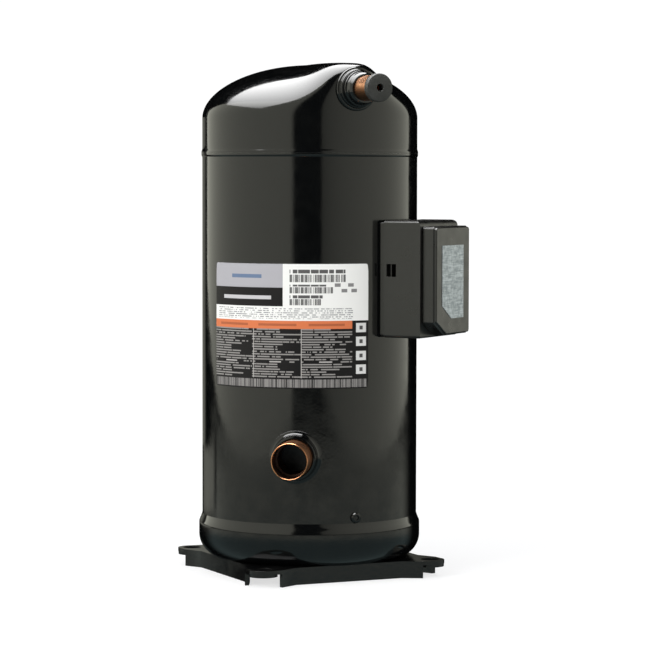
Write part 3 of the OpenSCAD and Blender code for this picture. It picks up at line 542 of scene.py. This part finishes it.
def lines_of_print(rows, marks, blank, seed, thick=0.5):
    """A mask of broken lines, with rows down the label, marks across it and some of it left blank."""
    row = add(tree, "ShaderNodeMath", {0: down, 1: float(rows)}, operation="MULTIPLY").outputs[0]
    part = add(tree, "ShaderNodeMath", {0: row}, operation="FRACT").outputs[0]
    on_row = add(tree, "ShaderNodeMath", {0: part, 1: thick}, operation="LESS_THAN").outputs[0]
    row = add(tree, "ShaderNodeMath", {0: row}, operation="FLOOR").outputs[0]
    along = add(tree, "ShaderNodeMath", {0: across, 1: float(marks)}, operation="MULTIPLY").outputs[0]
    cell = add(tree, "ShaderNodeCombineXYZ", {0: along, 1: row, 2: seed}).outputs[0]
    word = add(tree, "ShaderNodeTexNoise", {"Vector": cell, "Scale": 1.7, "Detail": 1.0}).outputs[0]
    word = add(tree, "ShaderNodeMath", {0: word, 1: blank}, operation="GREATER_THAN").outputs[0]
    return add(tree, "ShaderNodeMath", {0: word, 1: on_row}, operation="MULTIPLY").outputs[0]


white_film, black_ink = linear("#e3e3df"), linear("#131112")
dark_grey_ink, pale_grey_ink = linear("#1f1d1e"), linear("#b4b1ad")
word_rows = 50
words = lines_of_print(word_rows, 26, 0.38, 3.0, 0.52)
small = lines_of_print(62, 60, 0.47, 5.0)
bars = lines_of_print(1, 150, 0.46, 8.0, 1.1)
heading = lines_of_print(1, 34, 0.42, 6.0, 1.1)
small_on_white = inked(white_film, linear("#55565a"), small, 0.75)
bars_on_white = inked(white_film, dark_grey_ink, bars, 0.85)
heading_on_white = inked(white_film, dark_grey_ink, heading, 0.9)
# each of the three columns of words has a ragged right side
column_width = 0.2987
column = add(tree, "ShaderNodeMath", {0: across, 1: column_width}, operation="DIVIDE").outputs[0]
along = add(tree, "ShaderNodeMath", {0: column}, operation="FRACT").outputs[0]
column = add(tree, "ShaderNodeMath", {0: column}, operation="FLOOR").outputs[0]
row = add(tree, "ShaderNodeMath", {0: down, 1: float(word_rows)}, operation="MULTIPLY").outputs[0]
row = add(tree, "ShaderNodeMath", {0: row}, operation="FLOOR").outputs[0]
line = add(tree, "ShaderNodeCombineXYZ", {0: column, 1: row}).outputs[0]
reach = add(tree, "ShaderNodeTexWhiteNoise", {0: line}, noise_dimensions="3D").outputs["Value"]
reach = add(tree, "ShaderNodeMapRange", {"Value": reach, "To Min": 0.45, "To Max": 1.25}).outputs[0]
kept = add(tree, "ShaderNodeMath", {0: along, 1: reach}, operation="LESS_THAN").outputs[0]
words = add(tree, "ShaderNodeMath", {0: words, 1: kept}, operation="MULTIPLY").outputs[0]
words_on_black = inked(black_ink, linear("#aaa7a3"), words, 0.6)
bars_on_black = inked(dark_grey_ink, pale_grey_ink, bars, 0.45)
# the white block: small print, three headings, each with a bar pattern under it, and four small marks
face = printed(white_film, small_on_white, 0.03, 0.9, 0.35, 0.44)
for top, foot, right in ((0.045, 0.075, 0.86), (0.165, 0.18, 0.74), (0.25, 0.275, 0.72)):
    face = printed(face, heading_on_white, 0.53, right, top, foot)
for top, foot, right in ((0.085, 0.145, 0.86), (0.185, 0.235, 0.78), (0.28, 0.33, 0.71)):
    face = printed(face, bars_on_white, 0.53, right, top, foot)
for left, top in ((0.79, 0.155), (0.87, 0.155), (0.83, 0.2), (0.89, 0.2)):
    face = printed(face, linear("#4a484a"), left, left + 0.035, top, top + 0.028, 0.8)
# left of it a grey block with a blue bar and a black block with a pale bar
face = printed(face, linear("#a3a2a6"), 0.0, 0.49, 0.0, 0.19)
face = printed(face, linear("#4d6788"), 0.15, 0.36, 0.085, 0.115, 0.85)
face = printed(face, black_ink, 0.0, 0.49, 0.19, 0.34)
face = printed(face, linear("#c9c7c8"), 0.08, 0.42, 0.255, 0.285, 0.85)
# under both an orange strip with three bars, then the words in three columns, with rules between them
square_left = 0.896
face = printed(face, linear("#cc7044"), 0.0, square_left, 0.455, 0.52)
for left, right in ((0.05, 0.27), (0.34, 0.57), (0.64, 0.85)):
    face = printed(face, linear("#5a2a18"), left, right, 0.478, 0.497, 0.45)
face = printed(face, words_on_black, 0.0, square_left, 0.52, 0.915)
for left, right in ((0.0, 0.31), (0.31, 0.60), (0.60, square_left)):
    face = printed(face, black_ink, left + 0.01, right - 0.07, 0.775, 0.795)
    face = printed(face, linear("#b9b6b2"), left + 0.1, right - 0.12, 0.78, 0.79, 0.8)
for left in (0.306, 0.596):
    face = printed(face, linear("#a9a6a2"), left, left + 0.004, 0.52, 0.915)
# down the right side four squares on black, and along the foot a bar pattern
face = printed(face, black_ink, square_left, 1.0, 0.455, 1.0)
face = printed(face, black_ink, 0.0, 0.9, 0.915, 1.0)
for top in (0.475, 0.585, 0.70, 0.81):
    face = printed(face, linear("#d3d3d0"), 0.92, 0.985, top, top + 0.075, 0.95)
    face = printed(face, black_ink, 0.942, 0.963, top + 0.022, top + 0.053, 0.9)
face = printed(face, bars_on_black, 0.012, 0.988, 0.925, 0.99)
fibre = add(tree, "ShaderNodeTexNoise", {"Vector": spot, "Scale": 500.0, "Detail": 3.0}).outputs[0]
rough = add(tree, "ShaderNodeMapRange", {"Value": fibre, "From Min": 0.3, "From Max": 0.7,
            "To Min": 0.42, "To Max": 0.55}).outputs[0]
bump = add(tree, "ShaderNodeBump", {"Strength": 0.05, "Distance": 0.0002, "Height": fibre}).outputs[0]
shader = add(tree, "ShaderNodeBsdfPrincipled", {"Base Color": face, "Roughness": rough, "Normal": bump,
             "Specular IOR Level": 0.2}).outputs[0]
add(tree, "ShaderNodeOutputMaterial", {"Surface": shader})

bpy.ops.object.select_all(action="DESELECT")
bpy.ops.mesh.primitive_plane_add(size=0.001, enter_editmode=True)
bpy.ops.mesh.merge(type="CENTER")
film_r = clear_of_shell
bpy.ops.transform.translate(value=(0, -film_r, film_foot))
bpy.ops.mesh.extrude_region_move(TRANSFORM_OT_translate={"value": (0, 0, film_height)})
bpy.ops.mesh.select_all(action="SELECT")
bpy.ops.mesh.subdivide(number_cuts=15)
bpy.ops.mesh.select_all(action="SELECT")
bpy.ops.mesh.spin(steps=90, angle=math.radians(film_sweep), center=(0, 0, 0), axis=(0, 0, 1))
bpy.ops.object.mode_set(mode="OBJECT")
label = bpy.context.object
label.name = label.data.name = "rating_label_piece"
start = min(math.atan2(v.co.x, -v.co.y) for v in label.data.vertices)
label.data.transform(Matrix.Rotation(math.radians(film_left) - start, 4, "Z"))
corner_r, film_half_width = 0.003, 0.08876
middle_angle = math.radians(film_left + film_sweep / 2)
middle_z = film_foot + film_height / 2
half_width = film_half_width - corner_r
half_height = film_height / 2 - corner_r
for vertex in label.data.vertices:          # the corners are cut round
    angle = math.atan2(vertex.co.x, -vertex.co.y)
    side = (angle - middle_angle) * shell_m
    up = vertex.co.z - middle_z
    dx, dz = abs(side) - half_width, abs(up) - half_height
    if dx > 0 and dz > 0 and math.hypot(dx, dz) > corner_r:
        scale = corner_r / math.hypot(dx, dz)
        side = math.copysign(half_width + dx * scale, side)
        angle = side / shell_m + middle_angle
        vertex.co.x, vertex.co.y = film_r * math.sin(angle), -film_r * math.cos(angle)
        vertex.co.z = middle_z + math.copysign(half_height + dz * scale, up)
thick = label.modifiers.new("film", "SOLIDIFY")
thick.thickness, thick.offset = 0.0002, 1
bpy.ops.object.modifier_apply(modifier="film")
bpy.ops.object.mode_set(mode="EDIT")
bpy.ops.mesh.select_all(action="SELECT")
bpy.ops.mesh.normals_make_consistent(inside=False)
bpy.ops.object.mode_set(mode="OBJECT")
bpy.ops.object.shade_smooth_by_angle(angle=math.radians(30))
dress(label, film, "label_film", "housing", "rating_label")

# ---- Terminal box and cover ----
# Moulded in flame-resistant nylon: a box screwed to the shell round the motor terminal
# and a cover that clips into its mouth, both with rounded edges and a fine spark texture.
nylon = bpy.data.materials.new("moulded_black_nylon")
nylon.use_nodes = True
tree = nylon.node_tree
tree.nodes.clear()
spot = add(tree, "ShaderNodeTexCoord").outputs["Object"]
cloud = add(tree, "ShaderNodeTexNoise", {"Vector": spot, "Scale": 70.0, "Detail": 4.0}).outputs[0]
tone = add(tree, "ShaderNodeValToRGB", {0: cloud})
tone.color_ramp.elements[0].position, tone.color_ramp.elements[0].color = 0.35, linear("#0e0e0d")
tone.color_ramp.elements[1].position, tone.color_ramp.elements[1].color = 0.7, linear("#151513")
spark = add(tree, "ShaderNodeTexNoise", {"Vector": spot, "Scale": 2200.0, "Detail": 2.0}).outputs[0]
bump = add(tree, "ShaderNodeBump", {"Strength": 0.18, "Distance": 0.0001, "Height": spark}).outputs[0]
rough = add(tree, "ShaderNodeMapRange", {"Value": cloud, "From Min": 0.3, "From Max": 0.7,
            "To Min": 0.26, "To Max": 0.36}).outputs[0]
shader = add(tree, "ShaderNodeBsdfPrincipled", {"Base Color": tone.outputs[0], "Roughness": rough,
             "Normal": bump, "IOR": 1.53}).outputs[0]
add(tree, "ShaderNodeOutputMaterial", {"Surface": shader})
box = softened("terminal_box", "terminal_box_piece", 0.8)
dress(box, nylon, "box_plastic", "housing", "terminal_box")
cover = softened("terminal_cover", "terminal_cover_piece", 1.0)
dress(cover, nylon, "box_plastic", "terminal_cover", "terminal_cover")

foil = bpy.data.materials.new("printed_aluminium_foil")
foil.use_nodes = True
tree = foil.node_tree
tree.nodes.clear()
# silver foil label: brushed grain, a little mottled
spot = add(tree, "ShaderNodeTexCoord").outputs["Object"]
stretch = add(tree, "ShaderNodeMapping", {"Vector": spot, "Scale": (60.0, 60.0, 900.0)}).outputs[0]
brushed = add(tree, "ShaderNodeTexNoise", {"Vector": stretch, "Scale": 1.0, "Detail": 3.0}).outputs[0]
mottle = add(tree, "ShaderNodeTexNoise", {"Vector": spot, "Scale": 220.0, "Detail": 3.0}).outputs[0]
both = add(tree, "ShaderNodeMath", {0: brushed, 1: mottle}, operation="MULTIPLY").outputs[0]
tone = add(tree, "ShaderNodeValToRGB", {0: both})
tone.color_ramp.elements[0].position, tone.color_ramp.elements[0].color = 0.15, linear("#7d8689")
tone.color_ramp.elements[1].position, tone.color_ramp.elements[1].color = 0.38, linear("#b4bcbf")
bump = add(tree, "ShaderNodeBump", {"Strength": 0.1, "Distance": 0.0001, "Height": brushed}).outputs[0]
shader = add(tree, "ShaderNodeBsdfPrincipled", {"Base Color": tone.outputs[0], "Roughness": 0.42,
             "Metallic": 0.35, "Normal": bump}).outputs[0]
add(tree, "ShaderNodeOutputMaterial", {"Surface": shader})
nodes["cover_plate"].data.materials.clear()
nodes["cover_plate"].data.materials.append(foil)

# ---- Inner parts ----
# The pump, the crank drive, the motor and the wiring, bare of paint. Castings and sheet
# parts keep the tooling marks of how each was made.


def finish(name, dark, light, metallic, smooth, coarse, grain_mm, relief, stretch=(1, 1, 1), **more):
    """A finish with two close tones and a grain: grain_mm across, relief from 0 to 1."""
    made = bpy.data.materials.new(name)
    made.use_nodes = True
    tree = made.node_tree
    tree.nodes.clear()
    spot = add(tree, "ShaderNodeTexCoord").outputs["Object"]
    spot = add(tree, "ShaderNodeMapping", {"Vector": spot, "Scale": stretch}).outputs[0]
    grain = add(tree, "ShaderNodeTexNoise", {"Vector": spot, "Scale": 1000.0 / grain_mm,
                "Detail": 3.0}).outputs[0]
    stain = add(tree, "ShaderNodeTexNoise", {"Vector": spot, "Scale": 60.0, "Detail": 4.0,
                "Roughness": 0.6}).outputs[0]
    tone = add(tree, "ShaderNodeValToRGB", {0: stain})
    tone.color_ramp.elements[0].position, tone.color_ramp.elements[0].color = 0.33, linear(dark)
    tone.color_ramp.elements[1].position, tone.color_ramp.elements[1].color = 0.68, linear(light)
    rough = add(tree, "ShaderNodeMapRange", {"Value": stain, "From Min": 0.3, "From Max": 0.7,
                "To Min": smooth, "To Max": coarse}).outputs[0]
    bump = add(tree, "ShaderNodeBump", {"Strength": relief, "Distance": 0.0002, "Height": grain}).outputs[0]
    more = {key.replace("_", " "): value for key, value in more.items()}
    shader = add(tree, "ShaderNodeBsdfPrincipled", {"Base Color": tone.outputs[0], "Metallic": metallic,
                 "Roughness": rough, "Normal": bump, **more}).outputs[0]
    add(tree, "ShaderNodeOutputMaterial", {"Surface": shader})
    return made


finishes = [
    # grey iron: as cast where it isn't machined, so coarse and dull
    (finish("machined_grey_iron", "#55565a", "#7b7c80", 0.85, 0.38, 0.55, 1.2, 0.35),
     ["fixed_scroll", "orbiting_scroll", "main_bearing_housing", "lower_bearing_bracket", "floating_seal"]),
    # ground and hardened steel: fine rings round the axis
    (finish("ground_steel", "#9b9da1", "#c3c5c9", 1.0, 0.16, 0.28, 0.5, 0.12, (1, 1, 6)),
     ["crankshaft", "drive_bushing", "discharge_valve_disc", "scroll_guide_sleeves", "thrust_washer"]),
    # cold-rolled sheet, pressed: smooth, with a faint roll grain
    (finish("pressed_steel_sheet", "#8c8d8f", "#b2b3b5", 1.0, 0.28, 0.42, 0.8, 0.15, (1, 5, 1)),
     ["muffler_plate", "oil_pickup_tube", "valve_retainer", "terminal_body"]),
    # black oxide on steel: dark and a little oily
    (finish("black_oxide_steel", "#3a3b3e", "#55565a", 0.9, 0.35, 0.5, 0.7, 0.2),
     ["suction_deflector", "scroll_bolts", "upper_counterweight", "lower_counterweight"]),
    # stacked lamination edges: bands half a millimetre thick along the axis
    (finish("stacked_electrical_steel", "#6a6c72", "#8a8c92", 0.9, 0.35, 0.5, 2.0, 0.5, (0.3, 0.3, 4)),
     ["stator_core", "rotor_core"]),
    # enamelled copper wire under varnish: glossy, with the lie of the wires
    (finish("varnished_copper_wire", "#8a3c18", "#c2703a", 0.6, 0.22, 0.36, 2.4, 0.9, (1, 1, 0.3),
            Coat_Weight=0.5),
     ["stator_winding"]),
    # bearing bronze with a burnished bore
    (finish("lead_bronze_lining", "#8d6a3c", "#b8935a", 1.0, 0.26, 0.4, 0.6, 0.15),
     ["main_bearing_bush", "lower_bearing_bush", "orbiting_scroll_bush"]),
    # die-cast aluminium
    (finish("die_cast_aluminium", "#a3a5a8", "#c9cacc", 1.0, 0.34, 0.48, 1.0, 0.25),
     ["oldham_ring", "rotor_end_rings"]),
    (finish("sintered_ferrite", "#232325", "#343437", 0.0, 0.6, 0.75, 0.8, 0.3), ["sump_magnet"]),
    (finish("moulded_phenolic_black", "#171718", "#242425", 0.0, 0.38, 0.5, 0.6, 0.2),
     ["motor_protector", "terminal_block"]),
    (finish("woven_lead_sleeving", "#a89f8c", "#cfc7b4", 0.0, 0.6, 0.75, 1.0, 0.6), ["motor_leads"]),
    (finish("moulded_natural_nylon", "#cbc4ae", "#e2dcc9", 0.0, 0.35, 0.45, 0.8, 0.15), ["lead_plug"]),
    (finish("fused_seal_glass", "#26443a", "#3f6a5a", 0.0, 0.05, 0.1, 1.0, 0.02), ["terminal_glass"]),
    (finish("nickel_plated_pins", "#b3a98f", "#d6cdb4", 1.0, 0.15, 0.25, 0.5, 0.06), ["terminal_pins"]),
    (finish("zinc_plated_screws", "#a9a58f", "#cfcbb5", 1.0, 0.25, 0.36, 0.5, 0.12),
     ["terminal_screws", "box_screws"]),
    (finish("green_chromated_screw", "#1f5a2c", "#35813f", 0.8, 0.28, 0.4, 0.5, 0.12), ["ground_screw"]),
    (finish("closed_cell_gasket_foam", "#191919", "#272727", 0.0, 0.7, 0.85, 0.9, 0.5), ["box_gasket"]),
]
for made, where in finishes:
    for node in where:
        nodes[node].data.materials.clear()
        nodes[node].data.materials.append(made)
